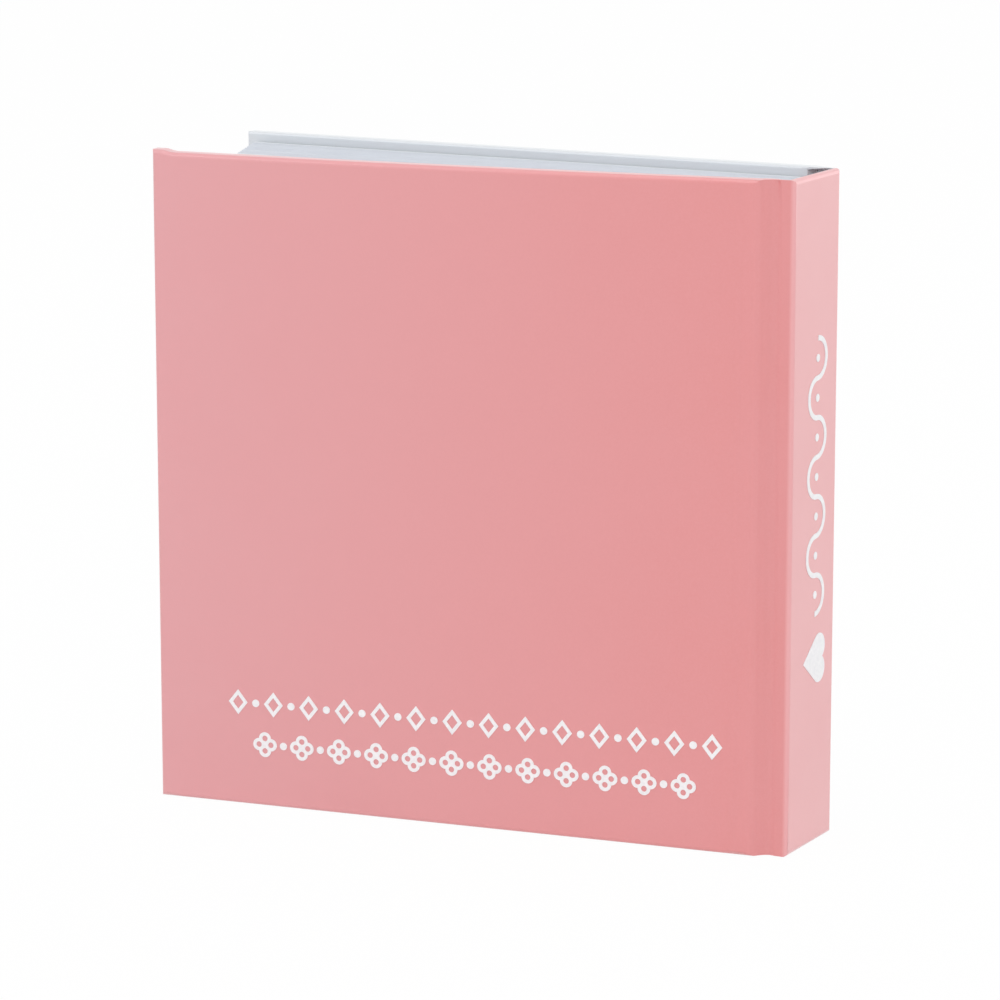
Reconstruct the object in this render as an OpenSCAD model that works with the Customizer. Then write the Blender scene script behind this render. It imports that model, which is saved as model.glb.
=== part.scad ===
// Small square hardback notepad, standing on its bottom edges.
// X runs from the fore edge to the spine, the back cover faces -Y, Z is up. Millimetres.

/* [Leaves] */
// Number of leaves in the pad
leaf_count = 130; // [60:5:200]
// Thickness of one leaf
leaf_t = 0.108; // [0.08:0.002:0.14]
// Width of the back leaf, from its glued edge to its fore edge
leaf_w = 93; // [70:0.5:130]
// Height of a leaf
leaf_h = 99; // [70:1:150]
// Slip of the leaves' fore edges away from the spine, from the back leaf to the front leaf
leaf_slip = 5.5; // [0:0.5:6]
// Slip of their glued edges
glue_slip = 2.5; // [0:0.5:6]
// Thickness of the endpapers
endpaper_t = 0.15; // [0.1:0.01:0.25]
// Thickness of the glue between the leaves and their lining
glue_t = 0.05; // [0.02:0.01:0.1]

/* [Boards] */
// Thickness of the cover boards
board_t = 2; // [1.5:0.1:3]
// Thickness of the card that stiffens the spine
spine_board_t = 0.8; // [0.5:0.1:3]
// Overhang of the case past the leaves at head and tail
square_h = 1.5; // [1:0.25:4]
// Overhang of the case past the front leaf at the fore edge
fore_square = 1.6; // [1.5:0.1:6]

/* [Covering] */
// Thickness of the printed covering paper
wrap_t = 0.3; // [0.2:0.02:0.4]
// Width of the covering paper that is turned in over the boards
turn_in = 12; // [8:0.5:18]
// Rounding of the covered outer edges
edge_r = 0.7; // [0.5:0.05:0.9]
// Strip of turned-in paper left bare around each pastedown
pastedown_margin = 2.5; // [1.5:0.25:5]
// Width of the lining's flap on each cover board
flap_w = 11; // [6:0.5:18]

/* [Joints] */
// Angle at which the back cover stands open
back_open = 7; // [0:0.5:30]
// Angle at which the front cover stands open
front_open = 0; // [0:0.5:30]
// Width of the groove between the spine and a cover's edge
groove_w = 3.8; // [2:0.1:5]
// Depth of the groove below the spine's edge
groove_dip = 0.4; // [0.1:0.05:0.8]
// Gap between the pad's lining and the spine's turn-ins
hollow_gap = 0.8; // [0.3:0.05:1.5]
// Clearance between a shut cover and the flyleaf
cover_gap = 0.3; // [0.2:0.05:0.6]
// Clearance between a cover's hinge edge and the groove's paper
hinge_gap = 0.2; // [0.15:0.05:0.4]
// Clearance between the spine's edge and a cover that is laid right back
swing_gap = 0.3; // [0.2:0.05:0.6]
// Distance of the hinge line from the cover's hinge edge, toward the spine
pivot_inset = 0.5; // [0.4:0.05:0.7]

/* [Print] */
// Thickness of the raised white print
print_t = 0.1; // [0.05:0.01:0.2]
// Height of the upper row of ornaments on the back cover
row_one_z = 16.4; // [13:0.1:30]
// Height of the lower row of ornaments on the back cover
row_two_z = 9.9; // [6:0.1:12]
// Length of the upper row, between the middles of its end motifs
row_one_l = 77.8; // [40:0.2:84]
// Length of the lower row, between the middles of its end motifs
row_two_l = 68.8; // [40:0.2:84]
// Height of a lozenge or flower in the rows
motif_h = 4; // [3:0.1:5]
// Breadth of a lozenge, as a share of its height
lozenge_share = 0.8; // [0.5:0.05:1]
// Breadth of the line that draws a lozenge or flower
motif_line = 0.55; // [0.4:0.05:0.6]
// Distance from one motif to the next, as a multiple of their height
motif_pitch = 1.55; // [1.5:0.05:2.5]
// Diameter of the dots
dot_d = 1.2; // [0.8:0.1:1.6]
// Distance from the spine's face to the middle of both rows
row_mid = 50.2; // [48:0.2:60]
// Distance of the spine's ornaments from its middle, toward the front cover
spine_print_y = 0.7; // [-1:0.1:1]
// Height of the middle of the wavy stem on the spine
stem_mid_z = 56.6; // [50:0.2:70]
// Radius of the stem's bends
stem_r = 3; // [2.5:0.1:3.5]
// Breadth of the stem's line
stem_w = 0.8; // [0.6:0.05:1.2]
// Number of bends in the stem
stem_bends = 7; // [3:2:9]
// Height of the middle of the heart on the spine
heart_z = 28.6; // [14:0.2:31]
// Breadth of the heart, up the spine
heart_w = 7.6; // [5:0.1:9]
// Length of the heart, across the spine
heart_l = 7.8; // [6:0.1:11]
// Radius of the heart's lobes, as a share of its breadth
lobe_share = 0.276; // [0.26:0.004:0.3]

/* [Hidden] */
$fn = 48;
// Facets round a dot or petal
dot_fn = 24;
// Length by which a cutting body passes the face that it opens
cut_over = 1;

// Depths from the middle of the pad out to each layer
block_half = leaf_count * leaf_t / 2;
stack_half = block_half + endpaper_t;
strip_in = stack_half + wrap_t;
strip_out = strip_in + wrap_t;
spine_half = strip_out + groove_dip;
cover_in = stack_half + cover_gap;
cover_t = wrap_t + board_t + wrap_t + endpaper_t;
cover_out = cover_in + cover_t;

// Distances from the spine's outer face toward the fore edge
spine_t = wrap_t + spine_board_t + wrap_t;
cover_edge = spine_t + groove_w;
strip_end = cover_edge - hinge_gap;
pad_back = spine_t + hollow_gap + wrap_t;
case_w = pad_back + leaf_slip + leaf_w + fore_square;
cover_w = case_w - cover_edge;

// Heights
book_h = leaf_h + 2 * square_h;
lining_h = book_h - 2 * turn_in;

// Hinge line of the back cover; the front cover's is its mirror image
pivot_x = -(cover_edge - pivot_inset);
pivot_half = (cover_out + spine_half + swing_gap) / 2;

// The whole object is moved so that the middle of its base is the origin
reach_w = cover_w + pivot_inset;
reach_out = cover_out - pivot_half;
reach_in = pivot_half - (cover_in + endpaper_t);
function tip_x(a) = pivot_x - max(reach_w * cos(a) + reach_in * sin(a),
    (reach_w - edge_r) * cos(a) - (reach_out - edge_r) * sin(a) + edge_r);
function tip_y(a) = pivot_half + (reach_w - edge_r) * sin(a) + (reach_out - edge_r) * cos(a) + edge_r;
mid_x = (min(tip_x(back_open), tip_x(front_open)) + print_t) / 2;
mid_y = (tip_y(front_open) - tip_y(back_open)) / 2;

// Share of the pad's thickness at the depth y, from the back leaf
function stack_share(y) = (y + stack_half) / (2 * stack_half);

// X of the pad's slanted glued edge and fore edge at the depth y
function glue_x(y) = -pad_back - glue_slip * stack_share(y);
function fore_x(y) = -pad_back - leaf_w - leaf_slip * stack_share(y);

// Moves a piece of the pad and spine into place
module place_root() {
    translate([-mid_x, -mid_y, 0]) children();
}

// Swings a shut back cover open and moves it into place
module place_back() {
    place_root()
        translate([pivot_x, -pivot_half, 0])
            rotate([0, 0, back_open])
                translate([-cover_w - pivot_inset, -reach_out, 0])
                    children();
}

// The front cover is the back cover's mirror image with its own angle
module place_front() {
    place_root()
        translate([pivot_x, pivot_half, 0])
            rotate([0, 0, -front_open])
                translate([-cover_w - pivot_inset, reach_out, 0])
                    mirror([0, 1, 0])
                        children();
}

// Box from one corner to the other
module slab(low, high) {
    translate(low) cube(high - low);
}

// Flat outline extruded from z_low to z_high
module prism(z_low, z_high) {
    translate([0, 0, z_low]) linear_extrude(height = z_high - z_low) children();
}

// Rectangle from one corner to the other
module plate(low, high) {
    translate(low) square(high - low);
}

// Leaves between two depths, with the slanted ends of a slipped pad
module leaves(y_low, y_high) {
    place_root()
        prism(square_h, square_h + leaf_h)
            polygon([
                [glue_x(y_low), y_low],
                [glue_x(y_high), y_high],
                [fore_x(y_high), y_high],
                [fore_x(y_low), y_low]
            ]);
}

// Pad of leaves, held at its glued edge
module page_block() {
    color("#e6eaef") leaves(-block_half, block_half);
}

// Loose half of the back endpaper, tipped to the pad
module back_flyleaf() {
    color("#dde3ea") leaves(-stack_half, -block_half);
}

// Loose half of the front endpaper, tipped to the pad
module front_flyleaf() {
    color("#dde3ea") leaves(block_half, stack_half);
}

// Lining glued to the pad's back, with a wing in each joint
module spine_lining() {
    near_x = glue_x(-stack_half) + wrap_t;
    far_x = glue_x(stack_half);
    wing_x = glue_x(stack_half - wrap_t) + glue_t;
    wing_lap = wrap_t;
    color("#d9d2c4")
        place_root()
            prism(turn_in, turn_in + lining_h)
                union() {
                    polygon([
                        [near_x - wrap_t + glue_t, -stack_half],
                        [near_x, -stack_half],
                        [far_x + wrap_t, stack_half],
                        [far_x + glue_t, stack_half]
                    ]);
                    plate([-strip_end, -strip_in], [near_x, -stack_half]);
                    plate([wing_x, stack_half - wrap_t], [wing_lap - strip_end, stack_half]);
                    plate([-strip_end, stack_half], [-spine_t, strip_in]);
                }
}

// Card that keeps the spine flat
module spine_board() {
    color("#a89c8a")
        place_root()
            slab([-wrap_t - spine_board_t, wrap_t - spine_half, wrap_t],
                [-wrap_t, spine_half - wrap_t, book_h - wrap_t]);
}

// Outline of the covering paper around one half of the spine, down to the groove
module spine_sheet_half() {
    plate([-wrap_t, 0], [0, spine_half - edge_r]);
    plate([-spine_t, spine_half - wrap_t], [-edge_r, spine_half]);
    intersection() {
        difference() {
            translate([-edge_r, spine_half - edge_r]) circle(r = edge_r);
            plate([-spine_t, 0], [-wrap_t, spine_half - wrap_t]);
        }
        plate([-edge_r, spine_half - edge_r], [0, spine_half]);
    }
    plate([-spine_t, strip_in], [wrap_t - spine_t, spine_half]);
    plate([-strip_end, strip_in], [wrap_t - spine_t, strip_out]);
}

// Outline of the paper turned in behind one half of the spine and its groove
module spine_turn_in_half() {
    plate([-spine_t, 0], [wrap_t - spine_t, spine_half - wrap_t]);
    plate([-strip_end, stack_half], [wrap_t - spine_t, strip_in]);
}

// Outline of the spine board's end, which the paper covers
module spine_end_half() {
    plate([-spine_t, 0], [-wrap_t, spine_half - wrap_t]);
}

// Both halves of a spine outline
module both_halves() {
    children();
    mirror([0, 1]) children();
}

// Covering paper of the spine with both grooves and the turn-ins at head and tail
module spine_wrap() {
    color("#eebdbd")
        place_root()
            union() {
                prism(0, book_h) both_halves() spine_sheet_half();
                for (z = [0, book_h - turn_in])
                    prism(z, z + turn_in) both_halves() spine_turn_in_half();
                for (z = [0, book_h - wrap_t])
                    prism(z, z + wrap_t) both_halves() spine_end_half();
            }
}

// Rectangle with its corners rounded
module soft_plate(w, h, r) {
    plate([r, 0], [w - r, h]);
    plate([0, r], [w, h - r]);
    for (x = [r, w - r], z = [r, h - r])
        translate([x, z]) circle(r = r);
}

// Slab whose outer face, at y = 0, has rounded edges and corners
module soft_slab(w, h, t, r) {
    translate([0, t, 0])
        rotate([90, 0, 0])
            linear_extrude(height = t - r)
                soft_plate(w, h, r);
    slab([r, 0, r], [w - r, t, h - r]);
    for (z = [r, h - r])
        translate([r, r, z]) rotate([0, 90, 0]) cylinder(h = w - 2 * r, r = r);
    for (x = [r, w - r])
        translate([x, r, r]) cylinder(h = h - 2 * r, r = r);
    for (x = [r, w - r], z = [r, h - r])
        translate([x, r, z]) sphere(r = r);
}

// Pieces of a cover are drawn shut: x from the fore edge to the hinge edge, y from the outer face inward
board_in = wrap_t + board_t;
level_in = board_in + wrap_t;

// Cover board, wrapped all round
module cover_board() {
    color("#a89c8a")
        slab([wrap_t, wrap_t, wrap_t], [cover_w - wrap_t, board_in, book_h - wrap_t]);
}

// Covering paper of a cover, turned in at head, tail and fore edge
module cover_wrap() {
    difference() {
        soft_slab(cover_w, book_h, level_in, edge_r);
        slab([wrap_t, wrap_t, wrap_t], [cover_w - wrap_t, board_in, book_h - wrap_t]);
        slab([turn_in, board_in, turn_in], [cover_w + cut_over, level_in + cut_over, book_h - turn_in]);
    }
}

// Flap of the lining on a cover board, as thick as the turn-ins beside it
module lining_flap() {
    color("#d9d2c4")
        slab([cover_w - flap_w, board_in, turn_in], [cover_w, level_in, book_h - turn_in]);
}

// Pasted half of an endpaper, sunk between the turn-ins and the flap
module pastedown() {
    low = [turn_in, turn_in];
    high = [cover_w - flap_w, book_h - turn_in];
    color("#dde3ea") {
        difference() {
            slab([pastedown_margin, level_in, pastedown_margin],
                [cover_w, cover_t, book_h - pastedown_margin]);
            slab([low[0] + endpaper_t, level_in - cut_over, low[1] + endpaper_t],
                [high[0] - endpaper_t, cover_t + cut_over, high[1] - endpaper_t]);
        }
        difference() {
            slab([low[0], board_in, low[1]], [high[0], cover_t, high[1]]);
            slab([low[0] + endpaper_t, board_in + endpaper_t, low[1] + endpaper_t],
                [high[0] - endpaper_t, cover_t + cut_over, high[1] - endpaper_t]);
        }
    }
}

// Lozenge that stands on its point
module diamond(half_w, half_h) {
    polygon([[0, -half_h], [half_w, 0], [0, half_h], [-half_w, 0]]);
}

// Lozenge drawn as a line
module lozenge() {
    half_w = lozenge_share * motif_h / 2;
    half_h = motif_h / 2;
    hole = 1 - motif_line * norm([half_w, half_h]) / (half_w * half_h);
    difference() {
        diamond(half_w, half_h);
        diamond(hole * half_w, hole * half_h);
    }
}

// Flower of four petals drawn as rings
module flower() {
    petal_r = motif_h / 4;
    difference() {
        petals(petal_r, petal_r);
        petals(petal_r, petal_r - motif_line);
    }
    circle(r = petal_r / 2, $fn = dot_fn);
}

// Four circles round the origin
module petals(reach, r) {
    for (a = [0:90:270])
        rotate(a) translate([reach, 0]) circle(r = r, $fn = dot_fn);
}

// Row of ornaments with a dot between each two
module motif_row(row_l) {
    count = round(row_l / (motif_pitch * motif_h));
    pitch = row_l / count;
    for (i = [0:count])
        translate([(i - count / 2) * pitch, 0]) children();
    for (i = [0:count - 1])
        translate([(i + 0.5 - count / 2) * pitch, 0]) circle(d = dot_d, $fn = dot_fn);
}

// Raised white ornaments in two rows, low on the back cover
module back_cover_print() {
    color("white")
        place_back()
            translate([case_w - row_mid, 0, 0])
                rotate([90, 0, 0])
                    linear_extrude(height = print_t) {
                        translate([0, row_one_z]) motif_row(row_one_l) lozenge();
                        translate([0, row_two_z]) motif_row(row_two_l) flower();
                    }
}

// Half ring of the stem, bulging toward +X
module stem_bend() {
    intersection() {
        difference() {
            circle(r = stem_r + stem_w / 2);
            circle(r = stem_r - stem_w / 2);
        }
        plate([0, -2 * stem_r], [2 * stem_r, 2 * stem_r]);
    }
}

// Wavy stem with a bud in each bend
module stem() {
    for (i = [0:stem_bends - 1]) {
        side = i % 2;
        translate([0, (i - (stem_bends - 1) / 2) * 2 * stem_r]) {
            mirror([side, 0]) stem_bend();
            circle(d = dot_d, $fn = dot_fn);
        }
    }
}

// Heart that points down, with its middle at the origin
module heart() {
    lobe_r = lobe_share * heart_w;
    lobe_x = heart_w / 2 - lobe_r;
    lobe_y = heart_l / 2 - lobe_r;
    drop = lobe_y + heart_l / 2;
    lean = atan(lobe_x / drop) + asin(lobe_r / norm([lobe_x, drop]));
    side_l = sqrt(pow(norm([lobe_x, drop]), 2) - pow(lobe_r, 2));
    touch = [side_l * sin(lean), side_l * cos(lean) - heart_l / 2];
    polygon([
        [0, -heart_l / 2], touch, [lobe_x, lobe_y], [0, lobe_y], [-lobe_x, lobe_y], [-touch[0], touch[1]]
    ]);
    for (x = [-lobe_x, lobe_x])
        translate([x, lobe_y]) circle(r = lobe_r);
}

// Raised white stem and heart on the spine's outer face
module spine_print() {
    color("white")
        place_root()
            rotate([90, 0, 90])
                linear_extrude(height = print_t) {
                    translate([spine_print_y, stem_mid_z]) stem();
                    translate([spine_print_y, heart_z]) rotate(-90) heart();
                }
}

module back_board() { place_back() cover_board(); }
module back_cover_wrap() { color("#e5a1a4") place_back() cover_wrap(); }
module back_lining_flap() { place_back() lining_flap(); }
module back_pastedown() { place_back() pastedown(); }
module front_board() { place_front() cover_board(); }
module front_cover_wrap() { color("#eceff2") place_front() cover_wrap(); }
module front_lining_flap() { place_front() lining_flap(); }
module front_pastedown() { place_front() pastedown(); }

page_block();
back_flyleaf();
front_flyleaf();
spine_lining();
spine_board();
spine_wrap();
spine_print();
back_board();
back_cover_wrap();
back_lining_flap();
back_pastedown();
back_cover_print();
front_board();
front_cover_wrap();
front_lining_flap();
front_pastedown();
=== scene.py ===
"""Looks of a small square hardback notepad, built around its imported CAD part.

Pieces are modelled in millimetres in the case's own frame: x is 0 at the spine's face and negative
toward the fore edge, y is 0 in the middle of the pad and negative toward the back cover, z is up.
settle() then moves each piece to its place in the part's frame, in metres.
"""

import math
import random

import bmesh
import bpy
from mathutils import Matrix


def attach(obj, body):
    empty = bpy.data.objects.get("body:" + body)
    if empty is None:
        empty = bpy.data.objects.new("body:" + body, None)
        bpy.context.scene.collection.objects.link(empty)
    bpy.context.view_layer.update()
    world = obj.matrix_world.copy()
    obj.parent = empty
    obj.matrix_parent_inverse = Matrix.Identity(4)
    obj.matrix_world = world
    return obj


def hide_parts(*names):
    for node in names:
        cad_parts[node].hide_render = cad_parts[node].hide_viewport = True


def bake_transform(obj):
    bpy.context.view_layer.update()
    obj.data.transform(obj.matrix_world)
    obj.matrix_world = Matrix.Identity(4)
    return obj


# Sizes of the case, in millimetres, as in the part's source
BOOK_H = 102.0
FORE = -102.6
HINGE = -5.2
PAPER = 0.3
COVER_OUT = 10.22
TURNED_IN = 7.62
SHUT_IN = 7.47
SPINE_T = 1.4
SPINE_HALF = 8.17
SPINE_BODY_HALF = 7.8
LAP_X = -0.95
TURN_IN = 12.0
EDGE_R = 0.7
FOLD_R = 0.4
FLAP_X = -16.2
PIVOT = (-4.7, -9.345, 0.0)
BACK_OPEN = math.radians(7)
PART_SHIFT = (51.25, 5.9222, 0.0)
MM = 0.001

# Sizes of the pad and endpapers
LEAF_COUNT = 130
LEAF_T = 0.108
LEAF_GAP = 0.006
LEAF_W = 93.0
LEAF_SLIP = 5.5
LEAF_LOW, LEAF_HIGH = 1.5, 100.5
BLOCK_HALF = 7.02
STACK_HALF = 7.17
PAD_BACK = -2.5
PAD_FRONT = -5.0
ENDPAPER = 0.15
WAVE, WAVE_CUT = 0.12, 12
MARGIN = 2.5

# The joint's paper, draped from the cover's hinge edge onto the spine: x, inner and outer depth
JOINT_PATH = (
    (-4.55, 7.53, 9.44),
    (-4.25, 7.5, 9.12),
    (-3.8, 7.48, 8.68),
    (-3.4, 7.47, 8.36),
    (-3.05, 7.5, 8.16),
    (-2.7, 7.62, 8.08),
    (-2.35, 7.87, 8.12),
    (-2.0, 7.88, 8.17),
    (LAP_X, 7.88, 8.17),
)
BEND_START, BEND_END = -2.5, -5.0

# The endpapers' hinge strips, x and depth; the back one bends between two x, the front one
# between two depths
BACK_STRIP_PATH = ((-4.6, 7.5), (-4.0, 7.38), (-3.5, 7.24))
BACK_STRIP_BEND = (-3.5, -5.1)
FRONT_STRIP_PATH = ((-4.9, 7.48), (-5.1, 7.36), (-5.6, 7.32), (-7.5, 7.28))

# The faint swelling beside each joint
RIDGE_X, RIDGE_HALF = -7.1, 1.5
RIDGE_CUTS = (-8.6, -8.1, -7.6, -7.1, -6.6, -6.2)

# The joint's head: the outer face lies beyond OUTER_SIDE and the inner face short of INNER_SIDE,
# the lip stands over the pocket, and the fold slants down toward the spine
OUTER_SIDE, INNER_SIDE = -8.05, -7.95
LIP_Z = 101.52
LIP_T = 0.08
LIP_PAPER = 0.35
POCKET_Z = 96.4
HEAD_PUSH = 2.0
ROLL_END = -2.6
FOLD_TOP, FOLD_X, FOLD_SLOPE = 101.8, -6.3, 0.765
HEAD_CUTS = (POCKET_Z, 97.4, 98, 99, 99.6, 100.2, 100.8, 101.2, LIP_Z, LIP_Z + LIP_T)

# Guide cuts that let a cover bow, and those of its folded corner, from the fore edge
BOW_CUTS_X = (-80, -70, -60, -50, -40, -30, -22, -10)
BOW_CUTS_Z = (25, 35, 45, 55, 65, 75, 84, 94)
CORNER_CUTS = (1.3, 1.9, 2.6, 3.4)
COVER_BOW = 1.2
BOW_FOOT, BOW_RISE = 22, 80

# Where the painted light and shade in the paper's tone change over the covers and at the spine, x
# in metres in the part's frame
PAINTED_SHADE_SPAN = (-0.05, 0.043)
PAINTED_SHEEN_SPAN = (0.0504, 0.0509)


# Modelling helpers


def near(a, b):
    """Whether two places, in millimetres, are the same but for rounding."""
    return abs(a - b) < 0.02


def deselect():
    bpy.ops.object.select_all(action="DESELECT")


def make_active(piece):
    deselect()
    piece.select_set(True)
    bpy.context.view_layer.objects.active = piece


def edit(piece):
    make_active(piece)
    bpy.ops.object.mode_set(mode="EDIT")


def leave_edit():
    bpy.ops.object.mode_set(mode="OBJECT")


def start_box(name, low, high):
    """A box between two corners, left in edit mode to be shaped further."""
    deselect()
    bpy.ops.mesh.primitive_cube_add(
        size=1,
        location=[(a + b) / 2 for a, b in zip(low, high)],
        scale=[b - a for a, b in zip(low, high)],
    )
    bpy.ops.object.transform_apply(location=True, rotation=True, scale=True)
    piece = bpy.context.object
    piece.name = name
    piece.data.name = name
    bpy.ops.object.mode_set(mode="EDIT")
    return piece


def pick(piece, kind, test):
    """Selects only the points, edges or faces whose middle passes the test."""
    bpy.ops.mesh.select_mode(type=kind)
    bpy.ops.mesh.select_all(action="DESELECT")
    mesh = bmesh.from_edit_mesh(piece.data)
    for item in {"VERT": mesh.verts, "EDGE": mesh.edges, "FACE": mesh.faces}[kind]:
        if kind == "VERT":
            middle = item.co
        elif kind == "EDGE":
            middle = (item.verts[0].co + item.verts[1].co) / 2
        else:
            middle = item.calc_center_median()
        if test(middle):
            item.select_set(True)
    bmesh.update_edit_mesh(piece.data)


def cut(axis, places):
    """Cuts the whole piece across an axis at each place, as guides for later shaping."""
    across = [1.0 if i == axis else 0.0 for i in range(3)]
    for place in places:
        bpy.ops.mesh.select_all(action="SELECT")
        bpy.ops.mesh.bisect(plane_co=[place * a for a in across], plane_no=across)


def move(x=0.0, y=0.0, z=0.0):
    bpy.ops.transform.translate(value=(x, y, z))


def extrude(x=0.0, y=0.0, z=0.0):
    bpy.ops.mesh.extrude_region_move(TRANSFORM_OT_translate={"value": (x, y, z)})


def round_edges(piece, radius, segments, test):
    pick(piece, "EDGE", test)
    bpy.ops.mesh.bevel(offset=radius, segments=segments, affect="EDGES")


def press(piece, depth, weight, direction="Y"):
    """Moves the piece's points along one axis, each by its own share of a depth."""
    make_active(piece)
    group = piece.vertex_groups.new(name="share")
    for v in piece.data.vertices:
        group.add([v.index], weight(v.co), "REPLACE")
    modifier = piece.modifiers.new("press", "DISPLACE")
    modifier.direction = direction
    modifier.mid_level = 0
    modifier.strength = depth
    modifier.vertex_group = group.name
    bpy.ops.object.modifier_apply(modifier=modifier.name)
    piece.vertex_groups.remove(piece.vertex_groups["share"])


def soft_step(t):
    t = min(1.0, max(0.0, t))
    return t * t * (3 - 2 * t)


def swing_open(piece, angle, share):
    """Turns the piece about the back cover's hinge line, each column of points by its share."""
    columns = {}
    for v in piece.data.vertices:
        turned = share(v.co.x, v.co.y)
        if turned > 0:
            columns.setdefault(round(turned, 3), []).append(v.index)
    edit(piece)
    for turned, members in columns.items():
        bpy.ops.mesh.select_mode(type="VERT")
        bpy.ops.mesh.select_all(action="DESELECT")
        mesh = bmesh.from_edit_mesh(piece.data)
        mesh.verts.ensure_lookup_table()
        for i in members:
            mesh.verts[i].select_set(True)
        bmesh.update_edit_mesh(piece.data)
        bpy.ops.transform.rotate(
            value=-angle * turned, orient_axis="Z", center_override=PIVOT
        )
    leave_edit()


def mirror_to_front(piece):
    """Turns a piece made for the back into the front's."""
    edit(piece)
    bpy.ops.mesh.select_all(action="SELECT")
    bpy.ops.transform.resize(value=(1, -1, 1), center_override=(0, 0, 0))
    bpy.ops.mesh.normals_make_consistent(inside=False)
    leave_edit()


def settle(piece, material, smooth=40):
    """Moves a finished piece from the case's frame in millimetres to the part's in metres."""
    make_active(piece)
    bpy.ops.object.shade_smooth_by_angle(angle=math.radians(smooth))
    even = piece.modifiers.new("even", "WEIGHTED_NORMAL")
    even.keep_sharp = True
    even.weight = 100
    bpy.ops.object.modifier_apply(modifier=even.name)
    piece.location = [s * MM for s in PART_SHIFT]
    piece.scale = (MM, MM, MM)
    bpy.ops.object.transform_apply(location=True, rotation=True, scale=True)
    if not piece.data.materials:
        piece.data.materials.append(material)
    else:
        piece.data.materials[0] = material


# Cover shapes


def bow_share(p):
    """How far the back cover bows out at a point: most at the head's middle, none low down."""
    middle, half = (FORE + HINGE) / 2, (HINGE - FORE) / 2
    across = max(0.0, 1 - ((p.x - middle) / half) ** 2)
    return across * soft_step((p.z - BOW_FOOT) / BOW_RISE)


def ridge_share(p):
    """A faint swelling of the paper beside the joint, on the cover's outer face."""
    if p.y > -COVER_OUT + 0.1:
        return 0.0
    return max(0.0, 1 - ((p.x - RIDGE_X) / RIDGE_HALF) ** 2) ** 2


def fold_line(x):
    """Height of the slanting fold at the joint's head."""
    return FOLD_TOP - FOLD_SLOPE * (x - FOLD_X)


def roll_share(p):
    """How far the joint's outer paper rolls inward above the slanting fold."""
    if not HINGE < p.x < ROLL_END or p.y > OUTER_SIDE:
        return 0.0
    beside = soft_step((p.x - HINGE) / 1.4)
    return above_fold(p) * beside * min(1.0, (-8.0 - p.y) / 0.5)


def joint_outer(x):
    """Depth of the joint's outer face at x, by straight lines between the path's points."""
    for (x0, _, d0), (x1, _, d1) in zip(JOINT_PATH, JOINT_PATH[1:]):
        if x0 <= x <= x1:
            return d0 + (d1 - d0) * (x - x0) / (x1 - x0)
    return JOINT_PATH[0][2]


def tent(x):
    """How far the unpressed paper stands out past the joint's outer face at the head."""
    straight = SPINE_HALF + (COVER_OUT - 0.3 - SPINE_HALF) * (x - LAP_X) / (HINGE - LAP_X)
    return max(0.0, straight - joint_outer(x))


def above_fold(p):
    """0 below the slanting fold, 1 at the head."""
    low = fold_line(p.x)
    return min(1.0, max(0.0, (p.z - low) / (BOOK_H - low)))


def tent_share(p):
    """Outward push of the joint's outer face above the fold, where no iron pressed it in."""
    if not HINGE + 0.1 < p.x < LAP_X - 0.1 or p.y > OUTER_SIDE:
        return 0.0
    return tent(p.x) * above_fold(p) / HEAD_PUSH


def on_inner_face(p):
    return HINGE + 0.1 < p.x < LAP_X - 0.4 and p.y >= INNER_SIDE


def pocket_share(p):
    """Outward push of the joint's inner face just under the head, which leaves a lip above it."""
    if not on_inner_face(p) or p.z > LIP_Z + 0.01:
        return 0.0
    floor = joint_outer(p.x) + tent(p.x) * above_fold(p) - LIP_PAPER
    return max(0.0, floor + p.y) * soft_step((p.z - POCKET_Z) / 1.5) / HEAD_PUSH


def lip_share(p):
    """Lift of the lip's lower edge, which thins toward the spine."""
    if not on_inner_face(p) or not LIP_Z - 0.01 < p.z < LIP_Z + 0.2:
        return 0.0
    return min(1.0, (p.x - HINGE) / 2.6)


def corner_share(p):
    """Lift of the folded paper at the back cover's outer top corner."""
    return soft_step((FORE + CORNER_CUTS[-1] - p.x) / 2.0) * soft_step((p.z - 99.5) / 2.0)


def cover_paper(name):
    """A cover board in its paper, with the joint's paper running on onto the spine's edge."""
    piece = start_box(name, (FORE, -COVER_OUT, 0), (HINGE, -TURNED_IN, BOOK_H))
    pick(piece, "FACE", lambda p: near(p.x, HINGE))
    x, inner, outer = HINGE, TURNED_IN, COVER_OUT
    for next_x, next_inner, next_outer in JOINT_PATH:
        extrude(next_x - x, inner - next_inner)
        bpy.ops.transform.resize(
            value=(1, (next_outer - next_inner) / (outer - inner), 1),
            center_override=(next_x, -next_inner, 0),
        )
        x, inner, outer = next_x, next_inner, next_outer
    round_edges(piece, EDGE_R, 5, lambda p: near(p.y, -COVER_OUT))
    round_edges(
        piece,
        0.25,
        2,
        lambda p: near(p.y, -TURNED_IN)
        and p.x < HINGE - 1
        and (near(p.x, FORE) or near(p.z, 0) or near(p.z, BOOK_H)),
    )
    cut(0, [FORE + TURN_IN, FLAP_X])
    cut(2, [TURN_IN, BOOK_H - TURN_IN])
    pick(
        piece,
        "FACE",
        lambda p: near(p.y, -TURNED_IN)
        and FORE + TURN_IN < p.x < FLAP_X
        and TURN_IN < p.z < BOOK_H - TURN_IN,
    )
    extrude(y=-1.5 * PAPER)
    cut(0, [FORE + step for step in CORNER_CUTS])
    cut(0, [*BOW_CUTS_X, *RIDGE_CUTS])
    cut(2, [*BOW_CUTS_Z, *HEAD_CUTS])
    leave_edit()
    press(piece, -0.12, ridge_share)
    return piece


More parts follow.
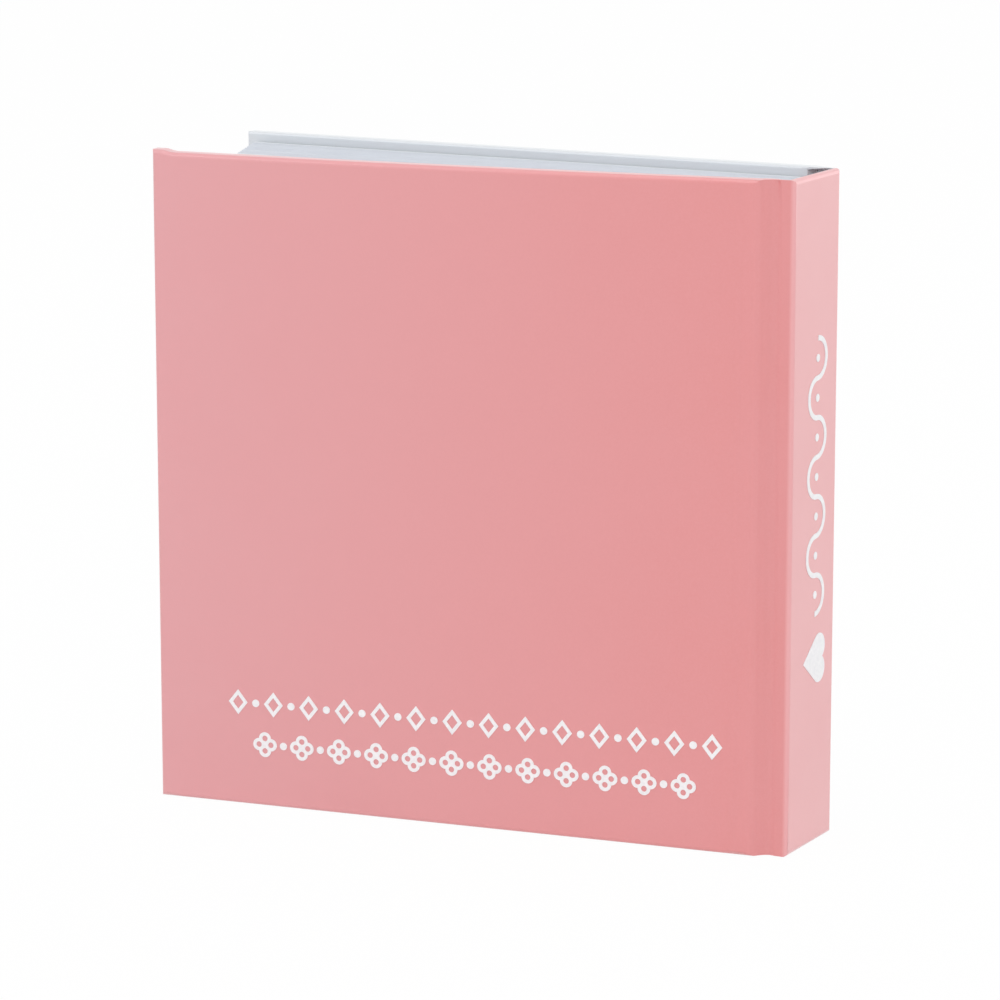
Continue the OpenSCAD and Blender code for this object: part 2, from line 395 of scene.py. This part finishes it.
def pastedown_paper(name, path):
    """The pasted half of an endpaper, sunk inside its turned-in frame, with its hinge strip."""
    low = (FORE + MARGIN, -TURNED_IN, MARGIN)
    piece = start_box(name, low, (HINGE, -SHUT_IN, BOOK_H - MARGIN))
    pick(piece, "FACE", lambda p: near(p.x, HINGE))
    x, depth = HINGE, TURNED_IN - ENDPAPER / 2
    for next_x, next_depth in path:
        extrude(next_x - x, depth - next_depth)
        x, depth = next_x, next_depth
    slope = 0.5
    window = (FORE + TURN_IN, FLAP_X, TURN_IN, BOOK_H - TURN_IN)
    cut(0, [window[0], window[0] + slope, window[1] - slope, window[1]])
    cut(2, [window[2], window[2] + slope, window[3] - slope, window[3]])
    pick(
        piece,
        "VERT",
        lambda p: window[0] + slope / 2 < p.x < window[1] - slope / 2
        and window[2] + slope / 2 < p.z < window[3] - slope / 2,
    )
    move(y=-PAPER)
    cut(0, BOW_CUTS_X)
    cut(2, BOW_CUTS_Z)
    leave_edit()
    return piece


def blend_cover(piece):
    """Bakes the cover paper's placement into its mesh."""
    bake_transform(piece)


def back_cover(paper, endpaper):
    """The printed cover: bowed, standing a little open, with its endpaper inside."""
    piece = cover_paper("back_cover_paper")
    press(piece, -0.6 * HEAD_PUSH, tent_share)
    press(piece, 0.3, roll_share)
    press(piece, 0.35, corner_share, "Z")
    press(piece, -COVER_BOW, bow_share)
    bend = BEND_END - BEND_START
    swing_open(piece, BACK_OPEN, lambda x, y: soft_step((x - BEND_START) / bend))
    settle(piece, paper)
    blend_cover(piece)
    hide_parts("back_cover_wrap", "back_board")
    lining = pastedown_paper("back_pastedown_paper", BACK_STRIP_PATH)
    press(lining, -COVER_BOW, bow_share)
    bend = BACK_STRIP_BEND[1] - BACK_STRIP_BEND[0]
    swing_open(lining, BACK_OPEN, lambda x, y: soft_step((x - BACK_STRIP_BEND[0]) / bend))
    settle(lining, endpaper)
    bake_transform(lining)
    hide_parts("back_pastedown", "back_lining_flap")


def front_cover(paper, endpaper):
    """The plain cover: shut, with a tented joint's head, and its endpaper inside."""
    piece = cover_paper("front_cover_paper")
    press(piece, -HEAD_PUSH, tent_share)
    press(piece, -HEAD_PUSH, pocket_share)
    press(piece, 0.3, lip_share, "Z")
    mirror_to_front(piece)
    settle(piece, paper)
    blend_cover(piece)
    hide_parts("front_cover_wrap", "front_board")
    lining = pastedown_paper("front_pastedown_paper", FRONT_STRIP_PATH)
    mirror_to_front(lining)
    settle(lining, endpaper)
    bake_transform(lining)
    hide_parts("front_pastedown", "front_lining_flap")


# Spine, pad and flyleaves


def spine_cover(paper, fold_highlight):
    """The spine board's paper, folded over at head and tail and open to the board inside."""
    piece = start_box(
        "spine_paper", (LAP_X, -SPINE_HALF, 0), (0, SPINE_HALF, BOOK_H)
    )
    round_edges(piece, EDGE_R, 5, lambda p: near(p.x, 0))
    cut(1, [-SPINE_BODY_HALF, SPINE_BODY_HALF])
    pick(piece, "FACE", lambda p: near(p.x, LAP_X) and abs(p.y) < SPINE_BODY_HALF)
    extrude(x=-SPINE_T - LAP_X)
    cut(2, [TURN_IN, BOOK_H - TURN_IN])
    cut(1, [-SPINE_BODY_HALF + 0.1, SPINE_BODY_HALF - 0.1])
    pick(
        piece,
        "FACE",
        lambda p: near(p.x, -SPINE_T)
        and abs(p.y) < SPINE_BODY_HALF - 0.1
        and TURN_IN < p.z < BOOK_H - TURN_IN,
    )
    extrude(x=SPINE_T - PAPER)
    pick(
        piece,
        "EDGE",
        lambda p: near(p.x, -SPINE_T) and (near(p.z, 0) or near(p.z, BOOK_H)),
    )
    bpy.ops.mesh.bevel(offset=FOLD_R, segments=2, affect="EDGES")
    piece.data.materials.append(paper)
    piece.data.materials.append(fold_highlight)
    mesh = bmesh.from_edit_mesh(piece.data)
    # The inner fold's bevel faces get a pale paper: a painted highlight along the fold's edge
    for face in mesh.faces:
        middle = face.calc_center_median()
        rim = min(middle.z, BOOK_H - middle.z)
        if middle.x < -SPINE_T + FOLD_R + 0.02 and 0.001 < rim < FOLD_R - 0.01:
            face.material_index = 1
    bmesh.update_edit_mesh(piece.data)
    leave_edit()
    settle(piece, paper)
    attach(piece, "pad")
    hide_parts("spine_wrap")


def stack_share(y):
    """Share of the pad's thickness at a depth, from the back leaf."""
    return (y + STACK_HALF) / (2 * STACK_HALF)


def glue_x(y):
    """X of the slipped pad's glued edge at a depth."""
    return PAD_BACK + (PAD_FRONT - PAD_BACK) * stack_share(y)


def leaf_width(y):
    """Width of the leaf at a depth: the fore edges slip further than the glued edges."""
    return glue_x(y) - PAD_BACK + LEAF_W + LEAF_SLIP * stack_share(y)


def leaf_stack(paper):
    """All the leaves, each cut a hair differently, in one slipped pad."""
    rng = random.Random(7)
    sheet = LEAF_T - LEAF_GAP
    leaf = start_box("page_leaves", (-LEAF_W, 0, LEAF_LOW), (0, sheet, LEAF_HIGH))
    leave_edit()
    leaves = [leaf]
    for i in range(1, LEAF_COUNT):
        make_active(leaf)
        bpy.ops.object.duplicate()
        leaves.append(bpy.context.object)
    for i, one in enumerate(leaves):
        y = -BLOCK_HALF + i * LEAF_T
        middle = y + LEAF_T / 2
        one.location = (glue_x(middle), y, rng.uniform(-0.07, 0.07))
        one.scale.x = (leaf_width(middle) + rng.uniform(-0.15, 0.07)) / LEAF_W
    deselect()
    for one in leaves:
        one.select_set(True)
    bpy.context.view_layer.objects.active = leaf
    bpy.ops.object.join()
    bpy.ops.object.transform_apply(location=True, rotation=True, scale=True)
    settle(leaf, paper)
    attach(leaf, "pad")
    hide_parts("page_block")


def flyleaf(name, side, paper, node):
    """The loose half of an endpaper, lying on the pad with a faint wave."""
    x = PAD_BACK if side < 0 else PAD_FRONT
    y = side * (BLOCK_HALF + ENDPAPER / 2)
    piece = start_box(
        name,
        (x - leaf_width(y), y - ENDPAPER / 2, LEAF_LOW),
        (x, y + ENDPAPER / 2, LEAF_HIGH),
    )
    cut(0, [x - WAVE_CUT * k for k in range(1, 8)])
    cut(2, [LEAF_LOW + WAVE_CUT * k for k in range(1, 9)])
    leave_edit()
    press(
        piece,
        side * WAVE,
        lambda p: 0.5 + 0.5 * math.sin(p.x / 17) * math.cos(p.z / 23),
    )
    settle(piece, paper)
    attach(piece, "pad")
    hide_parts(node)


# Materials


def new_material(name):
    material = bpy.data.materials.new(name)
    material.use_nodes = True
    tree = material.node_tree
    shader = tree.nodes["Principled BSDF"]
    return material, tree, shader


def node(tree, kind, **settings):
    made = tree.nodes.new(kind)
    for key, value in settings.items():
        setattr(made, key, value)
    return made


def noise(tree, scale, detail=4.0, roughness=0.5):
    """Noise on the piece's own coordinates; scale is in waves per metre."""
    coordinates = node(tree, "ShaderNodeTexCoord")
    made = node(tree, "ShaderNodeTexNoise")
    made.inputs["Scale"].default_value = scale
    made.inputs["Detail"].default_value = detail
    made.inputs["Roughness"].default_value = roughness
    tree.links.new(coordinates.outputs["Object"], made.inputs["Vector"])
    return made


def span(tree, source, low, high, in_low=0.3, in_high=0.7):
    """Spreads a noise over a range of values."""
    made = node(tree, "ShaderNodeMapRange")
    made.inputs["From Min"].default_value = in_low
    made.inputs["From Max"].default_value = in_high
    made.inputs["To Min"].default_value = low
    made.inputs["To Max"].default_value = high
    tree.links.new(source, made.inputs["Value"])
    return made.outputs["Result"]


def blend_colours(tree, source, first, second):
    """Goes from one colour to another as the source goes from 0 to 1."""
    made = node(tree, "ShaderNodeMix", data_type="RGBA")
    if isinstance(first, tuple):
        made.inputs["A"].default_value = (*first, 1)
    else:
        tree.links.new(first, made.inputs["A"])
    made.inputs["B"].default_value = (*second, 1)
    tree.links.new(source, made.inputs["Factor"])
    return made.outputs["Result"]


def bump(tree, shader, height, distance, strength=1.0, below=None):
    made = node(tree, "ShaderNodeBump")
    made.inputs["Strength"].default_value = strength
    made.inputs["Distance"].default_value = distance
    tree.links.new(height, made.inputs["Height"])
    if below:
        tree.links.new(below.outputs["Normal"], made.inputs["Normal"])
    tree.links.new(made.outputs["Normal"], shader.inputs["Normal"])
    return made


def painted_light_along_case(tree, tones):
    """Painted light and shade along the case: the tone is paler toward the fore edge, deepest
    beside the joint as painted shade, and paler again on the spine as a painted sheen.
    """
    places = node(tree, "ShaderNodeTexCoord")
    split = node(tree, "ShaderNodeSeparateXYZ")
    tree.links.new(places.outputs["Object"], split.inputs["Vector"])
    along = split.outputs["X"]
    cover = blend_colours(tree, span(tree, along, 0, 1, *PAINTED_SHADE_SPAN), tones[0], tones[1])
    return blend_colours(tree, span(tree, along, 0, 1, *PAINTED_SHEEN_SPAN), cover, tones[2])


def printed_paper(name, tones, shade, roughness, specular):
    """Satin laminated paper: cloudy ink with painted light and shade along the case, fine fibres
    and a slightly uneven surface.
    """
    material, tree, shader = new_material(name)
    clouds = noise(tree, 45, 5, 0.55)
    # The tones carry painted light and shade along the case, not a change in the ink
    painted_light_tone = painted_light_along_case(tree, tones)
    colours = blend_colours(tree, span(tree, clouds.outputs["Fac"], 0, 0.3), painted_light_tone, shade)
    fibres = noise(tree, 2600, 3, 0.6)
    lift = tuple(min(1.0, c * 1.05 + 0.01) for c in shade)
    colours = blend_colours(tree, span(tree, fibres.outputs["Fac"], 0, 0.2), colours, lift)
    tree.links.new(colours, shader.inputs["Base Color"])
    patches = noise(tree, 120, 3)
    tree.links.new(
        span(tree, patches.outputs["Fac"], roughness - 0.04, roughness + 0.04),
        shader.inputs["Roughness"],
    )
    shader.inputs["Specular IOR Level"].default_value = specular
    shader.inputs["Coat Weight"].default_value = 1.0
    shader.inputs["Coat Roughness"].default_value = 0.3
    shader.inputs["Coat IOR"].default_value = 1.7
    waves = bump(tree, shader, noise(tree, 70, 2).outputs["Fac"], 0.00006)
    bump(tree, shader, fibres.outputs["Fac"], 0.000012, below=waves)
    return material


def matte_paper(name, colour, shade, fibre=3000):
    """Uncoated paper with faint fibres."""
    material, tree, shader = new_material(name)
    fibres = noise(tree, fibre, 4, 0.65)
    clouds = noise(tree, 60, 3)
    colours = blend_colours(tree, span(tree, clouds.outputs["Fac"], 0, 1), colour, shade)
    lift = tuple(min(1.0, c * 1.04) for c in colour)
    colours = blend_colours(tree, span(tree, fibres.outputs["Fac"], 0, 0.5), colours, lift)
    tree.links.new(colours, shader.inputs["Base Color"])
    tree.links.new(
        span(tree, fibres.outputs["Fac"], 0.68, 0.82), shader.inputs["Roughness"]
    )
    shader.inputs["Specular IOR Level"].default_value = 0.3
    bump(tree, shader, fibres.outputs["Fac"], 0.00002)
    return material


def pressed_board():
    """Grey pulp board with dark and pale flecks."""
    material, tree, shader = new_material("pressed_grey_board")
    flecks = noise(tree, 1500, 6, 0.75)
    clouds = noise(tree, 140, 4)
    colours = blend_colours(
        tree, span(tree, clouds.outputs["Fac"], 0, 1), (0.4, 0.35, 0.28), (0.32, 0.28, 0.23)
    )
    colours = blend_colours(
        tree, span(tree, flecks.outputs["Fac"], 0, 0.6, 0.55, 0.75), colours, (0.62, 0.58, 0.5)
    )
    tree.links.new(colours, shader.inputs["Base Color"])
    shader.inputs["Roughness"].default_value = 0.85
    shader.inputs["Specular IOR Level"].default_value = 0.2
    bump(tree, shader, flecks.outputs["Fac"], 0.00008)
    return material


def gauze():
    """Open-woven lining on its backing paper."""
    material, tree, shader = new_material("lining_gauze")
    coordinates = node(tree, "ShaderNodeTexCoord")
    threads = []
    for direction in ("Y", "Z"):
        wave = node(tree, "ShaderNodeTexWave", bands_direction=direction)
        wave.inputs["Scale"].default_value = 380
        wave.inputs["Distortion"].default_value = 0.6
        tree.links.new(coordinates.outputs["Object"], wave.inputs["Vector"])
        threads.append(wave.outputs["Fac"])
    higher = node(tree, "ShaderNodeMath", operation="MAXIMUM")
    tree.links.new(threads[0], higher.inputs[0])
    tree.links.new(threads[1], higher.inputs[1])
    colours = blend_colours(
        tree, span(tree, higher.outputs[0], 0, 1, 0.5, 0.9), (0.5, 0.46, 0.38), (0.8, 0.77, 0.7)
    )
    tree.links.new(colours, shader.inputs["Base Color"])
    shader.inputs["Roughness"].default_value = 0.85
    bump(tree, shader, higher.outputs[0], 0.00008)
    return material


def white_ink():
    """Thick white print with a slight sheen."""
    material, tree, shader = new_material("raised_white_ink")
    grain = noise(tree, 1800, 3)
    colours = blend_colours(
        tree, span(tree, grain.outputs["Fac"], 0, 1), (0.93, 0.93, 0.94), (0.86, 0.86, 0.88)
    )
    tree.links.new(colours, shader.inputs["Base Color"])
    tree.links.new(span(tree, grain.outputs["Fac"], 0.3, 0.45), shader.inputs["Roughness"])
    bump(tree, shader, grain.outputs["Fac"], 0.00002)
    return material


def dress(name, material, nodes):
    """Gives a CAD node that stays in view its finish."""
    nodes[name].data.materials.clear()
    nodes[name].data.materials.append(material)


# Stage, lights and camera

FLOOR_GLOW = 0.97


def seen_directly(tree):
    """1 where the camera, a gloss or a clear surface sees the place, 0 where it only lights."""
    path = node(tree, "ShaderNodeLightPath")
    seen = node(tree, "ShaderNodeMath", operation="MAXIMUM")
    tree.links.new(path.outputs["Is Camera Ray"], seen.inputs[0])
    tree.links.new(path.outputs["Is Glossy Ray"], seen.inputs[1])
    either = node(tree, "ShaderNodeMath", operation="MAXIMUM")
    tree.links.new(seen.outputs[0], either.inputs[0])
    tree.links.new(path.outputs["Is Transmission Ray"], either.inputs[1])
    return either.outputs[0]


def white_floor():
    """A pale floor that shows white to the camera and keeps a faint shadow."""
    deselect()
    bpy.ops.mesh.primitive_plane_add(size=6, location=(0, 0, -0.0001))
    floor = bpy.context.object
    floor.name = "floor"
    bpy.ops.object.transform_apply(location=True, rotation=True, scale=True)
    material, tree, shader = new_material("pale_floor")
    shader.inputs["Base Color"].default_value = (0.9, 0.9, 0.9, 1)
    shader.inputs["Roughness"].default_value = 0.9
    share = node(tree, "ShaderNodeMath", operation="MULTIPLY")
    tree.links.new(seen_directly(tree), share.inputs[0])
    share.inputs[1].default_value = FLOOR_GLOW
    glow = node(tree, "ShaderNodeEmission")
    glow.inputs["Strength"].default_value = 1.0
    mix = node(tree, "ShaderNodeMixShader")
    tree.links.new(share.outputs[0], mix.inputs["Fac"])
    tree.links.new(shader.outputs["BSDF"], mix.inputs[1])
    tree.links.new(glow.outputs["Emission"], mix.inputs[2])
    tree.links.new(mix.outputs["Shader"], tree.nodes["Material Output"].inputs["Surface"])
    floor.data.materials.append(material)


def white_surroundings(strength):
    """Even white light all round, which looks pure white where it is seen."""
    world = bpy.data.worlds.new("white_room")
    bpy.context.scene.world = world
    world.use_nodes = True
    tree = world.node_tree
    background = tree.nodes["Background"]
    background.inputs["Color"].default_value = (1, 1, 1, 1)
    tree.links.new(
        span(tree, seen_directly(tree), strength, 1.0, 0, 1), background.inputs["Strength"]
    )


def soft_lamp(name, location, size, power, target=(0, 0, 0.05)):
    """A round soft lamp that points at the middle of the part."""
    deselect()
    bpy.ops.object.light_add(type="AREA", location=location)
    lamp = bpy.context.object
    lamp.name = name
    lamp.data.shape = "DISK"
    lamp.data.size = size
    lamp.data.energy = power
    aim = [t - p for t, p in zip(target, location)]
    flat = math.hypot(aim[0], aim[1])
    lamp.rotation_euler = (math.atan2(flat, -aim[2]), 0, math.atan2(-aim[0], aim[1]))


def photo_camera():
    deselect()
    bpy.ops.object.camera_add(
        location=(0.309588, -0.578105, 0.181698),
        rotation=(math.radians(78.5954), 0, math.radians(28.064)),
    )
    camera = bpy.context.object
    camera.name = "photo_camera"
    camera.data.sensor_width = 36
    camera.data.lens = 156.885
    camera.data.clip_start = 0.01
    camera.data.clip_end = 20
    bpy.context.scene.camera = camera


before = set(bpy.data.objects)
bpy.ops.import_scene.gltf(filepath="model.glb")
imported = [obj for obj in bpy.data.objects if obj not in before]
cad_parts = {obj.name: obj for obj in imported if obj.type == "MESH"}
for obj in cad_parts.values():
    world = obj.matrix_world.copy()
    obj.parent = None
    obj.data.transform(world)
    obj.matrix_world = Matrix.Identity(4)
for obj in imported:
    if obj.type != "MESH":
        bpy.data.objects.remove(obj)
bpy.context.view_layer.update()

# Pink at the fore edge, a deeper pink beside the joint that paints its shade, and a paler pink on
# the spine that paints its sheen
PINK_PAINTED_LIGHT_TONES = ((0.75, 0.33, 0.35), (0.745, 0.235, 0.235), (0.83, 0.375, 0.385))
PALE_TONES = ((0.7, 0.74, 0.78),) * 3
PINK = printed_paper("pink_printed_paper", PINK_PAINTED_LIGHT_TONES, (0.755, 0.285, 0.3), 0.42, 0.5)
PALE = printed_paper("pale_printed_paper", PALE_TONES, (0.68, 0.72, 0.76), 0.42, 0.5)
# A pale paper for the spine's inner fold at head and tail: a painted highlight
FOLD_HIGHLIGHT = matte_paper("painted_fold_highlight", (0.9, 0.87, 0.86), (0.86, 0.82, 0.82))
ENDPAPER_WHITE = matte_paper("endpaper", (0.88, 0.905, 0.92), (0.86, 0.885, 0.9))
LEAF_WHITE = matte_paper("leaf_paper", (0.73, 0.76, 0.81), (0.71, 0.74, 0.79))
BOARD = pressed_board()
GAUZE = gauze()
INK = white_ink()

back_cover(PINK, ENDPAPER_WHITE)
front_cover(PALE, ENDPAPER_WHITE)
spine_cover(PINK, FOLD_HIGHLIGHT)
leaf_stack(LEAF_WHITE)
flyleaf("back_flyleaf_paper", -1, ENDPAPER_WHITE, "back_flyleaf")
flyleaf("front_flyleaf_paper", 1, ENDPAPER_WHITE, "front_flyleaf")
dress("spine_lining", GAUZE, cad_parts)
dress("spine_board", BOARD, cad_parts)
dress("spine_print", INK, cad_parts)
dress("back_cover_print", INK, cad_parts)

white_floor()
white_surroundings(0.75)
soft_lamp("window_lamp", (-0.7, -1.0, 0.9), 0.8, 1.9)
soft_lamp("front_lamp", (0.95, -0.85, 0.7), 0.8, 2.6)
soft_lamp("ceiling_lamp", (0.1, -0.3, 1.4), 0.9, 3.4)
soft_lamp("side_lamp", (0.6, 1.15, 0.3), 0.9, 1.5)
photo_camera()
bpy.context.scene.view_settings.view_transform = "Standard"
